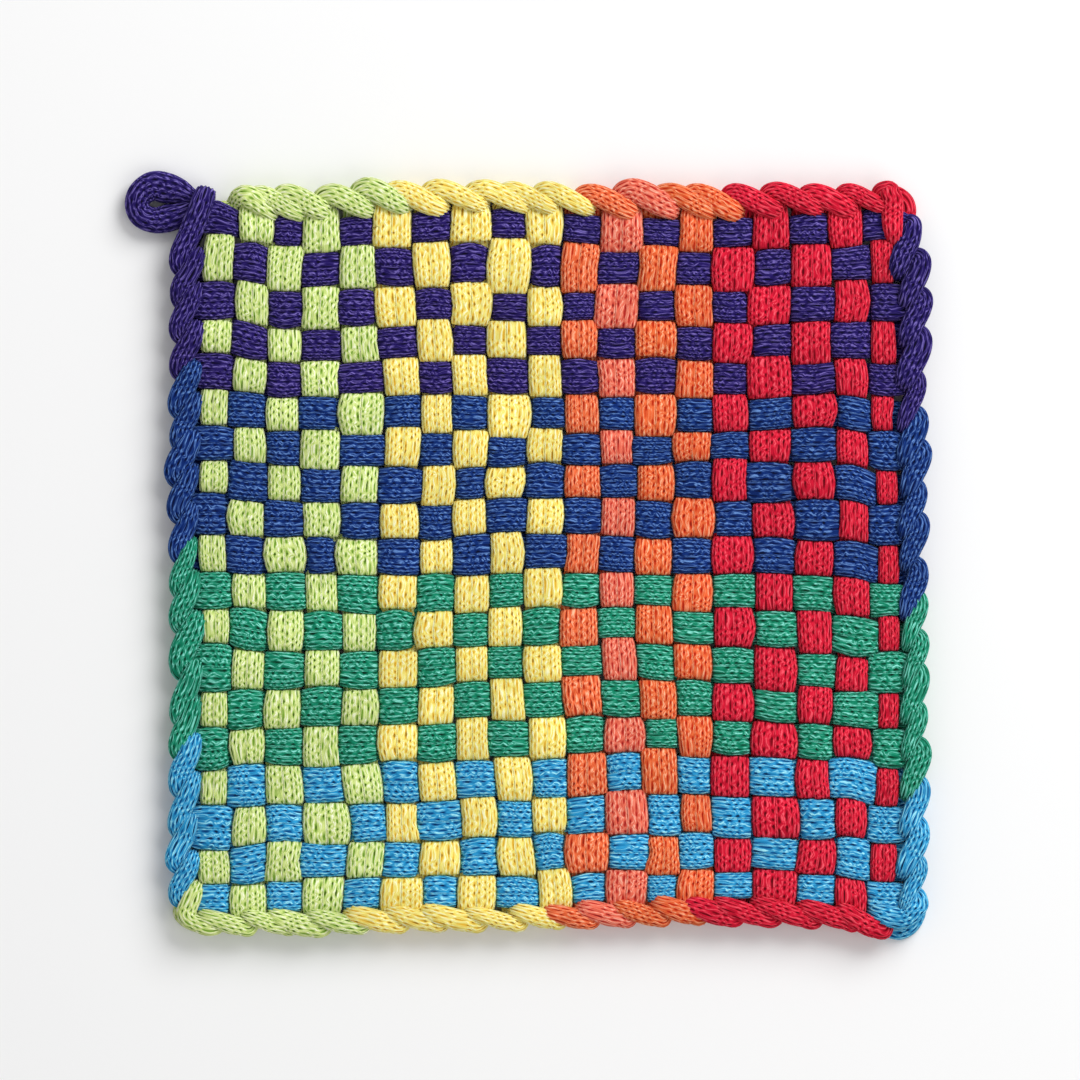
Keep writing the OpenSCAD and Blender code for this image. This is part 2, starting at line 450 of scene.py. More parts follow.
def tube_mesh(name: str, vertices: Array, marks: Array, closed: bool) -> bpy.types.Object:
    """A mesh object from a tube's grid of vertices, with its knit UV map.

    The UV map counts ribs across and stitches along the tube. An open tube's
    ends are closed with one face each.

    Args:
        name: Name of the object.
        vertices: (rings, columns, 3) in millimetres.
        marks: Stitch count of each ring, and for a closed tube of its end.
        closed: Whether the last ring joins the first.

    Returns:
        The object, linked to the scene.
    """
    rings, columns = vertices.shape[:2]
    spans = rings if closed else rings - 1
    ring = np.arange(spans)[:, None]
    column = np.arange(columns)[None]
    next_ring = (ring + 1) % rings
    next_column = (column + 1) % columns
    corners = [(ring, column), (ring, next_column), (next_ring, next_column), (next_ring, column)]
    quads = np.stack([row * columns + col for row, col in corners], axis=-1).reshape(-1, 4)
    u_low = np.broadcast_to(column / 2, (spans, columns))
    v_low = np.broadcast_to(marks[:spans, None], (spans, columns))
    v_high = np.broadcast_to(marks[1 : spans + 1, None], (spans, columns))
    u_values = np.stack([u_low, u_low + 0.5, u_low + 0.5, u_low], axis=-1).reshape(-1)
    v_values = np.stack([v_low, v_low, v_high, v_high], axis=-1).reshape(-1)

    faces = quads.tolist()
    if not closed:
        faces.append(list(range(columns - 1, -1, -1)))
        faces.append(list(range((rings - 1) * columns, rings * columns)))
        u_values = np.append(u_values, np.zeros(2 * columns))
        v_values = np.append(v_values, np.zeros(2 * columns))
    mesh = bpy.data.meshes.new(name)
    mesh.from_pydata((vertices.reshape(-1, 3) * MM).tolist(), [], faces)
    uv_map = mesh.uv_layers.new(name="knit")
    uv_map.data.foreach_set("uv", np.stack([u_values, v_values], axis=-1).astype(np.float32).reshape(-1))
    mesh.polygons.foreach_set("use_smooth", np.ones(len(faces), dtype=bool))
    mesh.update()
    if signed_volume(vertices, quads) < 0:
        mesh.flip_normals()
    return linked(name, mesh)


def signed_volume(vertices: Array, quads: Array) -> float:
    """Volume inside a shell of quads, negative where they face inwards.

    Each quad adds a sixth of the box product of its corners, one triangle
    after the other.

    Args:
        vertices: Points, in any grid of rows of three.
        quads: Four vertex numbers for each face.

    Returns:
        The volume in cubic millimetres.
    """
    points = vertices.reshape(-1, 3)
    first, second, third, fourth = (points[quads[:, k]] for k in range(4))
    return float(np.sum(first * (np.cross(second, third) + np.cross(third, fourth))) / 6)


@dataclass
class Cloth:
    """Sizes that all the loops share, and how the finished cloth has moved.

    Attributes:
        pitch: Distance from one loop to the next.
        count: Loops along each side.
        middle: Height of the weave's middle above the table.
        half_thick: Half the thickness of a run at its middle.
        apart: Distance of a run from its loop's middle, as a share of the
            run's half width.
        float_squareness: Exponent of a float's side view.
        rings_per_cell: Rings of the mesh in each crossing.
        wave_right: Height of the short waves that run up the cloth.
        wave_up: Height of those that run across it.
    """

    pitch: float = 7.7
    count: int = 19
    middle: float = 2.844
    half_thick: float = 1.5
    apart: float = 0.84
    float_squareness: float = 2.5
    rings_per_cell: int = 19
    wave_right: float = 0.35
    wave_up: float = 0.3

    @property
    def edge(self) -> float:
        """Distance from the middle of the weave to its edge."""
        return self.count * self.pitch / 2

    def place(self, number: int | Array) -> float | Array:
        """Distance of a loop from the middle, counted from the low side."""
        return (number - (self.count + 1) / 2) * self.pitch

    def pulled(self, points: Array) -> Array:
        """Points moved as the maker's hands left the cloth.

        The moves are the measured ones, with smooth steps between the places
        where they were measured, and short waves that make the rows uneven:
        each is the sine of one direction times the cosine of the other, plus
        a sine that slants, and it fades out near the edge.

        Args:
            points: Points of a regular weave.

        Returns:
            The moved points.
        """
        x, y = points[..., 0], points[..., 1]
        column = x / self.pitch + (self.count + 1) / 2
        row = (self.count + 1) / 2 - y / self.pitch
        inside = (1 - smooth_step(*WAVES_FADE, np.abs(x))) * (1 - smooth_step(*WAVES_FADE, np.abs(y)))
        sideways = np.sin(y / 8.1 + 0.6) * np.cos(x / 12.0) + np.sin(x / 4.9 + y / 23)
        lengthwise = np.sin(x / 7.3 + 1.9) * np.cos(y / 14.0) + np.sin(y / 5.3 - x / 21)
        moved = points.copy()
        moved[..., 0] += between(PULLED_RIGHT, row, column)
        moved[..., 0] += inside * self.wave_right * sideways
        moved[..., 1] += between(PULLED_UP, row, column)
        moved[..., 1] += inside * self.wave_up * lengthwise
        return moved

    def pressed(self, points: Array) -> Array:
        """Points lifted so that the underside lies on the table.

        Height z becomes s * ln(1 + exp(z / s)), which is z well above the
        table and never below it.

        Args:
            points: Points with their height above the table.

        Returns:
            The points with none below the table.
        """
        soft, sunk, clear = 0.22, 0.03, 0.02
        lifted = points.copy()
        lifted[..., 2] = soft * np.logaddexp(0, (points[..., 2] - sunk) / soft) + clear
        return lifted


@dataclass
class LoopEnd:
    """Course of a loop's end, out of the weave, round its link and back.

    Keys are written in the end's own frame: along the side, outwards from the
    weave's edge and up from the weave's middle. The columns after these are
    the section's up direction, its half width and its half thickness.

    Attributes:
        kind: What the end does.
        wide: Half width of the loop's runs.
        apart: Distance of a run from the loop's middle line.
        rise: Height of the last float's middle line.
        lead: How much further along the side the link lies than most.
        turns: For a corner link, how much further along the side its upper
            and its under leg turn.
        reach: How much further out it lies than most.
        fullness: Its width, as a share of most links' width.
        slant: Its slant towards the weave, as a share of most links' slant.
        tip: How much further out its round end lies than most.
        per_span: Rings between two keys.
    """

    kind: End
    wide: float
    apart: float
    rise: float
    lead: float = 0.0
    turns: tuple[float, float] = (0.0, 0.0)
    reach: float = 0.0
    fullness: float = 1.0
    slant: float = 1.0
    tip: float = 0.0
    per_span: int = 5

    def neck(self, side: int, half_thick: float, pitch: float) -> list[list[float]]:
        """Keys from the last float's middle to the edge of the weave.

        Args:
            side: -1 for the left run, 1 for the right one.
            half_thick: Half thickness of the runs in the weave.
            pitch: Distance from one loop to the next.

        Returns:
            Four keys.
        """
        s, w, z = side * self.apart, self.wide, self.rise
        if self.kind is End.FREE:
            return level(
                [s, -pitch / 2, z, w, half_thick],
                [s + 0.2, -2.3, 0.98 * z, w, half_thick],
                [s + 0.4, -0.9, 0.9 * z, 0.98 * w, half_thick],
                [0.9 * s + 0.6, 0.4, 0.6 * z, 0.9 * w, 0.9 * half_thick],
            )
        slide = 0.5 if self.kind is End.START else 0.0
        return level(
            [s + 0.4 * slide, -pitch / 2, z, w, half_thick],
            [s + 0.8 * slide, -2.3, 0.96 * z, 0.98 * w, half_thick],
            [0.97 * s + 2 * slide, -0.8, 0.7 * z + 0.05, 0.96 * w, 0.94 * half_thick],
            [0.88 * s + 3.4 * slide, 0.6, 0.34 * z + 0.12, 0.88 * w, 0.82 * half_thick],
        )

    def climb(self) -> list[list[float]]:
        """Keys from the weave's edge up to the start of the upper leg.

        Returns:
            Four keys.
        """
        if self.kind is End.START:
            return level(
                [2.6, 1.3, -0.6, 1.4, 1.05],
                [3.5, 2.2, 0.3, 1.7, 1.1],
                [4.5, 3.0, 1.5, 2.15, 1.2],
                [6.0, 3.3, 2.4, 2.45, 1.3],
            )
        return level(
            [-1.2, 1.9, 0.3, 1.25, 1.05],
            [-1.15, 3.0, 0.9, 1.4, 1.1],
            [-0.4, 3.85, 1.75, 1.75, 1.2],
            [1.2, 3.95, 2.35, 2.05, 1.25],
        )

    def leg(self, turn: float) -> list[list[float]]:
        """Keys of a leg, up to the link's round end.

        Args:
            turn: For a corner link, how much further along the side it turns.

        Returns:
            The leg's keys and, last, the key of the round end.
        """
        if self.kind is End.CORNER:
            z = 2.7 - 0.17 * min(turn, 0.0)
            outer = 0.2 * max(turn, 0.0)
            return level(
                [2.6 + 0.35 * turn, 3.1 + outer, z, 2.15, 1.2],
                [4.3 + 0.75 * turn, 1.9 + outer, z, 2.2, 1.15],
                [4.9 + 0.95 * turn, 0.2, z, 2.25, 1.15],
                [4.7 + 0.9 * turn, -1.9, z, 2.25, 1.15],
                [4.0 + 0.65 * turn, -4.3, z, 2.1, 1.15],
            ) + [
                [3.5 + 0.4 * turn, -6.1, 0.65 * z, -0.2, -0.7, 0.7, 1.8, 1.15],
                [3.3 + 0.3 * turn, -6.9, 0.3, -0.3, -1, 0, 1.6, 1.05],
            ]
        if self.kind is End.WRAP:
            return level(
                [3.6, 3.5, 2.6, 2.1, 1.3],
                [6.6, 2.1, 2.9, 2.2, 1.35],
                [9.6, 0.9, 3.0, 2.25, 1.35],
                [12.6, -0.3, 2.8, 2.25, 1.35],
            ) + [
                [15.0, -1.1, 1.8, 0.7, -0.2, 0.7, 2.1, 1.3],
                [15.9, -1.4, 0.1, 1, -0.3, 0, 1.9, 1.1],
            ]
        if self.kind is End.START:
            return level(
                [7.8, 2.8, 2.6, 2.5, 1.3],
                [9.6, 1.7, 2.6, 2.4, 1.25],
                [11.2, 0.6, 2.3, 2.1, 1.2],
            ) + [
                [12.2, -0.1, 1.3, 0.7, -0.2, 0.7, 1.8, 1.15],
                [12.5, -0.3, 0.1, 1, -0.3, 0, 1.6, 1.05],
            ]
        return level(
            [3.2, 3.3, 2.55, 2.2, 1.25],
            [5.4, 2.15, 2.65, 2.25, 1.25],
            [7.5, 0.95 + 0.4 * self.tip, 2.8, 2.2 - 0.1 * self.tip, 1.25],
        ) + [
            [9.1, 0.1 + 0.8 * self.tip, 2.4, 0.5, -0.2, 0.85, 1.95 - 0.2 * self.tip, 1.2],
            [10.0, -0.3 + self.tip, 0.4, 1, -0.3, 0, 1.7 - 0.2 * self.tip, 1.05],
        ]

    def keys(self, half_thick: float, pitch: float) -> Array:
        """Keys of a whole end: up one run, round the link and down the other run.

        The lower leg is the upper one turned over, closer to the cloth's
        middle and thinner.

        Args:
            half_thick: Half thickness of the runs in the weave.
            pitch: Distance from one loop to the next.

        Returns:
            One row per key.
        """
        upper = self.leg(self.turns[0])
        lower = self.leg(self.turns[1])
        sunk, thinner = -0.66, 0.8
        under = [
            [along, out, sunk * z, up_x, up_y, -up_z, wide, thinner * thick]
            for along, out, z, up_x, up_y, up_z, wide, thick in lower[-2::-1]
        ]
        rise_in = self.climb()
        if self.kind is End.START:
            drop = level(
                [6.6, 2.6, -1.35, 1.8, 1.0],
                [4.8, 2.3, -1.2, 1.4, 0.95],
                [3.0, 1.5, -0.8, 1.2, 1.0],
                up=-1,
            )
        else:
            drop = level(
                [rise_in[3][0] + 0.7, rise_in[3][1] - 0.6, -1.35, 1.7, 1.0],
                [1.3, 3.0, -0.6, 1.3, 0.95],
                [1.2, 1.9, 0.0, 1.2, 1.0],
                up=-1,
            )
        neck = self.neck(-1, half_thick, pitch)
        back = [[*key[:5], -key[5], *key[6:]] for key in self.neck(1, half_thick, pitch)[::-1]]
        link = np.array(rise_in + upper + under + drop, dtype=float)
        if self.kind is End.PLAIN:
            leg_middle = 1.9
            on_leg = link[:, 0] > 1.0
            link[:, 1] = np.where(on_leg, leg_middle + self.slant * (link[:, 1] - leg_middle), link[:, 1])
            held = smooth_step(-3.0, 1.0, link[:, 0])
            link[:, 0] += self.lead * held
            link[:, 1] += self.reach * held
        if self.kind is End.CORNER:
            link[:, 1] += self.reach * smooth_step(0.5, 3.0, link[:, 1])
        link[:, 6] *= self.fullness
        return np.vstack([np.array(neck, dtype=float), link, np.array(back, dtype=float)])

    def path(self, half_thick: float, pitch: float, flip: int) -> Path:
        """The end's path in its own frame, from float to float.

        Args:
            half_thick: Half thickness of the runs in the weave.
            pitch: Distance from one loop to the next.
            flip: 1 where the section's up direction starts upwards, else -1.

        Returns:
            The path, square to its course away from the weave.
        """
        points = spline(self.keys(half_thick, pitch), self.per_span)
        count = len(points)
        from_weave = np.minimum(np.arange(count), np.arange(count)[::-1]) / self.per_span
        square = smooth_step(1.0, 3.5, from_weave)
        side = np.where(np.arange(count) < count / 2, -1, 1)
        inner = side * flip * (1 - smooth_step(1.5, 3.5, from_weave))
        return Path(points[:, :3], points[:, 3:6] * flip, square, points[:, 6], points[:, 7], inner)

    def stubs(self, half_thick: float, pitch: float) -> tuple[Path, Path]:
        """Two runs that end under the wrap instead of going round a link.

        Args:
            half_thick: Half thickness of the runs in the weave.
            pitch: Distance from one loop to the next.

        Returns:
            The left stub and the right one.
        """
        stubs = []
        for side in (-1, 1):
            keys = self.neck(side, half_thick, pitch) + level([side * 1.2 + 0.8, 1.5, 0.2, 1.2, 0.9])
            points = spline(np.array(keys, dtype=float), self.per_span)
            square = np.zeros(len(points))
            inner = np.full(len(points), -float(side))
            stubs.append(Path(points[:, :3], points[:, 3:6], square, points[:, 6], points[:, 7], inner))
        return stubs[0], stubs[1]


@dataclass
class ClothLoop:
    """One loop of the weave.

    A loop's own frame has its middle line along +Y. Its left run goes to the
    far end with its section's up direction upwards, and its right run comes
    back with that direction downwards, so that the ring never twists.

    Attributes:
        cloth: The sizes that all the loops share.
        tube: The knitted tube that it is made of.
        name: The CAD node that the piece stands for.
        dye: Its colour.
        number: Its place, from the left for warp and from the top for weft.
        warp: Whether it runs along the world's Y.
        first_over: Whether its first float is on top.
        far_end: End at +Y of a warp loop, or +X of a weft loop.
        near_end: The opposite end.
        half_band: Half the width that its two runs take together.
        crimp: Height of its floats' middle line.
        lift: How much higher than the weave's middle all of it lies.
        snug: Room left between an upper float and the bands beside it.
        rounding: How much a float's end is set back at the band's edges.
        tugged: How far the hanging loop pulls the float beside it upwards.
        corner_turns: How much further its corner link's two legs turn.
        corner_reach: How much further out its corner link lies.
        squeezed: Whether a corner link pushes its far link inwards.
        seed: Seed of its small irregularities.
        widths: Half width of a run in each of its floats.
        heights: Height of each float's middle line.
        sidesteps: How far each float lies to the right of the loop's middle.
        link_play: Lead, reach and fullness of the far link and the near one.
        bands: For each band that crosses it, how far off its place it is and
            half its width.
        piece: Its mesh object, once built.
    """

    cloth: Cloth
    tube: KnitTube
    name: str
    dye: DyedCotton
    number: int
    warp: bool
    first_over: bool
    far_end: End = End.PLAIN
    near_end: End = End.PLAIN
    half_band: float = 4.0
    crimp: float = 1.45
    lift: float = 0.0
    snug: float = 0.1
    rounding: float = 0.35
    tugged: float = 2.3
    corner_turns: tuple[float, float] = (0.0, 0.0)
    corner_reach: float = 0.0
    squeezed: bool = False
    seed: int = 0
    widths: Array = field(init=False, repr=False)
    heights: Array = field(init=False, repr=False)
    sidesteps: Array = field(init=False, repr=False)
    link_play: Array = field(init=False, repr=False)
    bands: Array = field(init=False, repr=False)
    piece: bpy.types.Object | None = field(default=None, repr=False)

    def __post_init__(self) -> None:
        """Draws the loop's own irregularities."""
        random = np.random.default_rng(self.seed)
        count = self.cloth.count
        off_middle = np.abs(np.arange(1, count + 1) - (count + 1) / 2) / (count / 2)
        self.widths = self.half_band / (1 + self.cloth.apart) * (0.96 + 0.13 * off_middle**2)
        self.widths *= 1 + random.normal(0, WIDTH_SPREAD, count)
        self.heights = self.crimp * (1 + random.normal(0, HEIGHT_SPREAD, count))
        self.sidesteps = random.normal(0, SIDESTEP_SPREAD, count)
        self.link_play = np.clip(random.normal(0, 1, (2, 3)), -2, 2) * LINK_SPREAD
        self.bands = np.tile([0.0, self.half_band], (count, 1))
        if self.near_end is End.FREE:
            self.sidesteps[0] = -self.tugged
            self.widths[0] *= 1.22

    def sign(self, cell: int | Array) -> int | Array:
        """1 where the float in a cell is on top, -1 where it is below."""
        return np.where((np.asarray(cell) % 2 == 1) == self.first_over, 1, -1)

    def cross(self, others: list[ClothLoop]) -> None:
        """Notes how far each crossing band is off its place, and its half width.

        Args:
            others: The loops that it crosses, near end first.
        """
        count = self.cloth.count
        cell = self.number if self.warp else count + 1 - self.number
        turn = -1 if self.warp else 1
        halves = [other.widths[cell - 1] * (1 + self.cloth.apart) for other in others]
        self.bands = np.array([[turn * o.sidesteps[cell - 1], half] for o, half in zip(others, halves)])

    def bounds(self) -> Array:
        """Places along the loop where it passes from one float to the next.

        An upper float ends where the band that lies over its neighbour
        begins: at that band's place, less its half width and a little room.

        Returns:
            The near end of each float, and last the far end of the last one.
        """
        cells = np.arange(self.cloth.count + 1)
        sign = self.sign(cells)
        lower = cells + (sign == 1)
        off, half = (np.interp(lower, cells[1:], self.bands[:, k]) for k in (0, 1))
        return self.cloth.place(lower) + off - sign * (half + self.snug)

    def run(self, side: int) -> Path:
        """One run through the weave, from the near end to the far one.

        A float's side view is a superellipse: with angle a from -90 to 90
        degrees, the place is half its length times sin(a) to the power 2/e
        and the height is the crimp times cos(a) to the power 2/e. Runs narrow
        by a fourteenth where they dive.

        Args:
            side: -1 for the left run, 1 for the right one.

        Returns:
            The run's path in the loop's own frame.
        """
        cloth = self.cloth
        cells = np.arange(1, cloth.count + 1)
        angle = math.pi * ((np.arange(cloth.rings_per_cell) + 0.5) / cloth.rings_per_cell - 0.5)
        power = 2 / cloth.float_squareness
        share = signed_power(np.sin(angle), power)
        bounds = self.bounds()
        middle = (bounds[1:] + bounds[:-1]) / 2
        half_length = (bounds[1:] - bounds[:-1]) / 2
        along = (middle[:, None] + share[None] * half_length[:, None]).reshape(-1)
        height = self.sign(cells)[:, None] * np.cos(angle)[None] ** power * self.heights[:, None]
        cell_at = along / cloth.pitch + (cloth.count + 1) / 2
        narrowing = np.tile(1 - np.abs(share) ** 3 / 14, cloth.count)
        width = np.interp(cell_at, cells, self.widths) * narrowing
        shift = np.interp(cell_at, cells, self.sidesteps)
        across = side * cloth.apart * width + shift
        keep = np.abs(along) < cloth.edge - cloth.pitch / 2
        centre = np.stack([across, along, height.reshape(-1) + self.lift], axis=-1)[keep]
        ones = np.ones(len(centre))
        up = np.tile([0.0, 0.0, 1.0], (len(centre), 1))
        return Path(centre, up, 0 * ones, width[keep], cloth.half_thick * ones, side * ones)

    def end(self, kind: End, far: bool) -> LoopEnd:
        """The far or the near end, fitted to the last float's size.

        Args:
            kind: What the end does.
            far: Whether it is the far end.

        Returns:
            The end.
        """
        cell = self.cloth.count if far else 1
        wide = float(self.widths[cell - 1])
        rise = float(self.sign(cell) * self.heights[cell - 1] + self.lift)
        lead, reach, fuller = (float(value) for value in self.link_play[0 if far else 1])
        bottom = self.warp and not far
        if far and self.squeezed:
            reach = -1.5
        if bottom:
            reach -= 0.25
        if kind is End.CORNER:
            reach = self.corner_reach
        return LoopEnd(
            kind=kind,
            wide=wide,
            apart=self.cloth.apart * wide,
            rise=rise,
            lead=lead,
            turns=self.corner_turns,
            reach=reach,
            fullness=1 + fuller,
            slant=0.7 if bottom else 1.0,
            tip=0.2 if self.warp else 0.8,
        )

    def ring(self) -> Path:
        """The whole loop as one path in its own frame.

        Returns:
            The path: up the left run, round the far end, down the right run
            and round the near end.
        """
        cloth = self.cloth
        sizes = (cloth.half_thick, cloth.pitch)
        left = self.run(-1)
        right = self.run(1).reversed()
        right = replace(right, up=-right.up)
        far = self.end(self.far_end, True).path(*sizes, 1)
        far.centre[:, 0] += self.sidesteps[-1]
        far = far.turned(0, (0, cloth.edge))
        if self.near_end is End.FREE:
            place = (float(self.sidesteps[0]), -cloth.edge)
            first, second = (stub.turned(2, place) for stub in self.end(End.FREE, False).stubs(*sizes))
            first = replace(first, up=-first.up)
            return Path.join([second.reversed(), left, far, right, first])
        near = self.end(self.near_end, False).path(*sizes, -1)
        near.centre[:, 0] -= self.sidesteps[0]
        near = near.turned(2, (0, -cloth.edge))
        return Path.join([left, far, right, near])

    def parted(self, vertices: Array, inner: Array) -> Array:
        """Keeps each run on its own side of the loop's middle.

        Args:
            vertices: Vertices of the ring, which are changed.
            inner: The path's inner sides.

        Returns:
            The same vertices.
        """
        places = self.cloth.place(np.arange(1, self.cloth.count + 1))
        middle = np.interp(vertices[..., 1], places, self.sidesteps)
        side = np.sign(inner)[:, None]
        held = np.maximum((vertices[..., 0] - middle) * side, 0.01) * side + middle
        vertices[..., 0] = np.where(np.abs(inner)[:, None] > 0.6, held, vertices[..., 0])
        return vertices

    def rounded(self, vertices: Array) -> Array:
        """Moves vertices along the loop so that its upper floats have round ends.

        The move is minus the rounding times (x / half band) squared times
        sin(pi d / pitch), where d is the distance from an upper float's
        middle. It fades out where the necks begin.

        Args:
            vertices: Vertices of the ring, which are changed.

        Returns:
            The same vertices.
        """
        cloth = self.cloth
        x, y = vertices[..., 0], vertices[..., 1]
        top_middle = cloth.place(1 if self.first_over else 2)
        wave = np.sin(math.pi * (y - top_middle) / cloth.pitch)
        fade = 1 - smooth_step(cloth.edge - cloth.pitch / 2, cloth.edge - 1, np.abs(y))
        vertices[..., 1] = y - self.rounding * fade * np.clip(x / self.half_band, -1, 1) ** 2 * wave
        return vertices

    def build(self) -> bpy.types.Object:
        """Makes the loop's mesh in its place in the cloth.

        Returns:
            The mesh object.
        """
        cloth = self.cloth
        closed = self.near_end is not End.FREE
        path = self.ring()
        vertices, marks = self.tube.surface(path, closed, np.random.default_rng(self.seed + 1000))
        vertices = self.rounded(self.parted(vertices, path.inner))
        x, y, z = vertices[..., 0], vertices[..., 1], vertices[..., 2]
        if self.warp:
            placed = np.stack([x + cloth.place(self.number), y, z + cloth.middle], axis=-1)
        else:
            placed = np.stack([y, -x - cloth.place(self.number), z + cloth.middle], axis=-1)
        self.piece = tube_mesh(f"{self.name}_cloth", cloth.pressed(cloth.pulled(placed)), marks, closed)
        return self.piece

    def dress(self, materials: dict[str, bpy.types.Material]) -> None:
        """Gives the loop its dye and ties it to the frame.

        Args:
            materials: The materials by slot.
        """
        self.piece.data.materials.append(materials[self.dye.slot])
        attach(self.piece, "cloth")
        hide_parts(self.name)


@dataclass
class HangingLoop:
    """The free end of the first weft loop, left open to hang the cloth by.

    Attributes:
        cloth: The sizes that all the loops share.
        tube: The knitted tube, wide and relaxed here.
        fold: Distance from the weave's edge to its fold; not used.
        dye: Its colour.
        per_span: Rings between two keys.
        piece: Its mesh object, once built.
    """

    cloth: Cloth
    tube: KnitTube
    fold: float = 5.4
    dye: DyedCotton = PURPLE
    per_span: int = 7
    piece: bpy.types.Object | None = field(default=None, repr=False)

    def path(self) -> Path:
        """From inside the wrap, round the open end and back into the wrap.

        Keys are in the frame of the first weft loop's left end: along the
        side, outwards and up, then the half width and the half thickness.

        Returns:
            The path, in the same frame.
        """
        keys = np.array(
            [
                [6.0, 0.1, 0.1, 1.1, 0.9],
                [6.6, 2.0, 0.0, 1.7, 1.3],
                [7.65, 4.4, -0.3, 2.55, 1.8],
                [8.25, 6.9, -0.5, 3.1, 2.1],
                [8.7, 9.8, -0.5, 3.0, 2.1],
                [7.2, 12.3, -0.5, 2.7, 2.1],
                [4.9, 13.2, -0.5, 2.45, 2.1],
                [2.6, 12.2, -0.5, 2.5, 2.1],
                [1.6, 9.5, -0.5, 2.6, 2.1],
                [2.05, 6.6, -0.5, 2.8, 2.1],
                [2.75, 4.3, -0.3, 2.45, 1.8],
                [3.9, 2.0, 0.0, 1.7, 1.3],
                [4.6, 0.1, 0.1, 1.1, 0.9],
            ]
        )
        points = spline(keys, self.per_span)
        up = np.tile([0.0, 0.0, 1.0], (len(points), 1))
        square, inner = np.ones(len(points)), np.zeros(len(points))
        return Path(points[:, :3], up, square, points[:, 3], points[:, 4], inner)

    def build(self) -> bpy.types.Object:
        """Makes the hanging loop's mesh at the cloth's top left corner.

        Returns:
            The mesh object.
        """
        cloth = self.cloth
        row = -cloth.place(1)
        path = self.path().turned(1, (-cloth.edge, row))
        vertices, marks = self.tube.surface(path, False, np.random.default_rng(7))
        vertices = cloth.pressed(vertices + np.array([0, 0, cloth.middle]))
        self.piece = tube_mesh("hanging_loop_cloth", vertices, marks, False)
        return self.piece

    def dress(self, materials: dict[str, bpy.types.Material]) -> None:
        """Gives it its dye and bakes its placement into its mesh.

        Args:
            materials: The materials by slot.
        """
        self.piece.data.materials.append(materials[self.dye.slot])
        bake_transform(self.piece)
        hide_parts("hanging_loop")


class Graph:
    """Short ways to add nodes to a node tree."""

    def __init__(self, tree: bpy.types.NodeTree) -> None:
        """Starts on an existing tree."""
        self.tree = tree

    def node(self, kind: str, **settings: object) -> bpy.types.Node:
        """Adds a node.

        Args:
            kind: The node's type.
            **settings: Properties that are set on it.

        Returns:
            The node.
        """
        made = self.tree.nodes.new(kind)
        for name, value in settings.items():
            setattr(made, name, value)
        return made

    def feed(self, socket: bpy.types.NodeSocket, value: object) -> None:
        """Fills a socket.

        Args:
            socket: The socket.
            value: Another socket, to link it to, or a number or colour.
        """
        if isinstance(value, bpy.types.NodeSocket):
            self.tree.links.new(value, socket)
        else:
            socket.default_value = value

    def math(self, operation: str, first: object, second: object = 0.0) -> bpy.types.NodeSocket:
        """The result of a Math node.

        Args:
            operation: What it does.
            first: Its first value.
            second: Its second value, which some operations leave out.

        Returns:
            The node's value.
        """
        made = self.node("ShaderNodeMath", operation=operation)
        self.feed(made.inputs[0], first)
        self.feed(made.inputs[1], second)
        return made.outputs[0]

    def times(self, first: object, second: object) -> bpy.types.NodeSocket:
        """The product of two values."""
        return self.math("MULTIPLY", first, second)

    def plus(self, first: object, second: object) -> bpy.types.NodeSocket:
        """The sum of two values."""
        return self.math("ADD", first, second)

    def minus(self, first: object, second: object) -> bpy.types.NodeSocket:
        """The first value less the second."""
        return self.math("SUBTRACT", first, second)

    def mix(self, share: object, low: object, high: object, blend: str = "MIX") -> bpy.types.NodeSocket:
        """The result of a colour Mix node.

        Args:
            share: Share of the second colour.
            low: First colour.
            high: Second colour.
            blend: The node's blend type.

        Returns:
            The node's colour.
        """
        made = self.node("ShaderNodeMix", data_type="RGBA", blend_type=blend)
        self.feed(made.inputs[0], share)
        self.feed(made.inputs[6], low)
        self.feed(made.inputs[7], high)
        return made.outputs[2]

    def ramp(self, value: object, low: float, high: float) -> bpy.types.NodeSocket:
        """A smooth step of a value.

        Args:
            value: The value.
            low: Where the step is 0.
            high: Where it is 1.

        Returns:
            The step.
        """
        made = self.node("ShaderNodeMapRange", interpolation_type="SMOOTHSTEP")
        self.feed(made.inputs["Value"], value)
        made.inputs["From Min"].default_value = low
        made.inputs["From Max"].default_value = high
        return made.outputs[0]

    def turn(self, operation: str, value: object, half_turns: float) -> bpy.types.NodeSocket:
        """SINE or COSINE of a value, with so many half turns for each whole."""
        return self.math(operation, self.times(value, half_turns * math.pi))

    def half_up(self, value: object) -> bpy.types.NodeSocket:
        """0.5 + 0.5 value."""
        return self.plus(self.times(value, 0.5), 0.5)

    def noise(self, vector: object, scale: float, detail: float = 2.0) -> bpy.types.NodeSocket:
        """Value of a noise texture.

        Args:
            vector: Where it is read.
            scale: Its scale.
            detail: How many finer layers it has.

        Returns:
            The value, from 0 to 1.
        """
        made = self.node("ShaderNodeTexNoise")
        self.feed(made.inputs["Vector"], vector)
        made.inputs["Scale"].default_value = scale
        made.inputs["Detail"].default_value = detail
        return made.outputs[0]


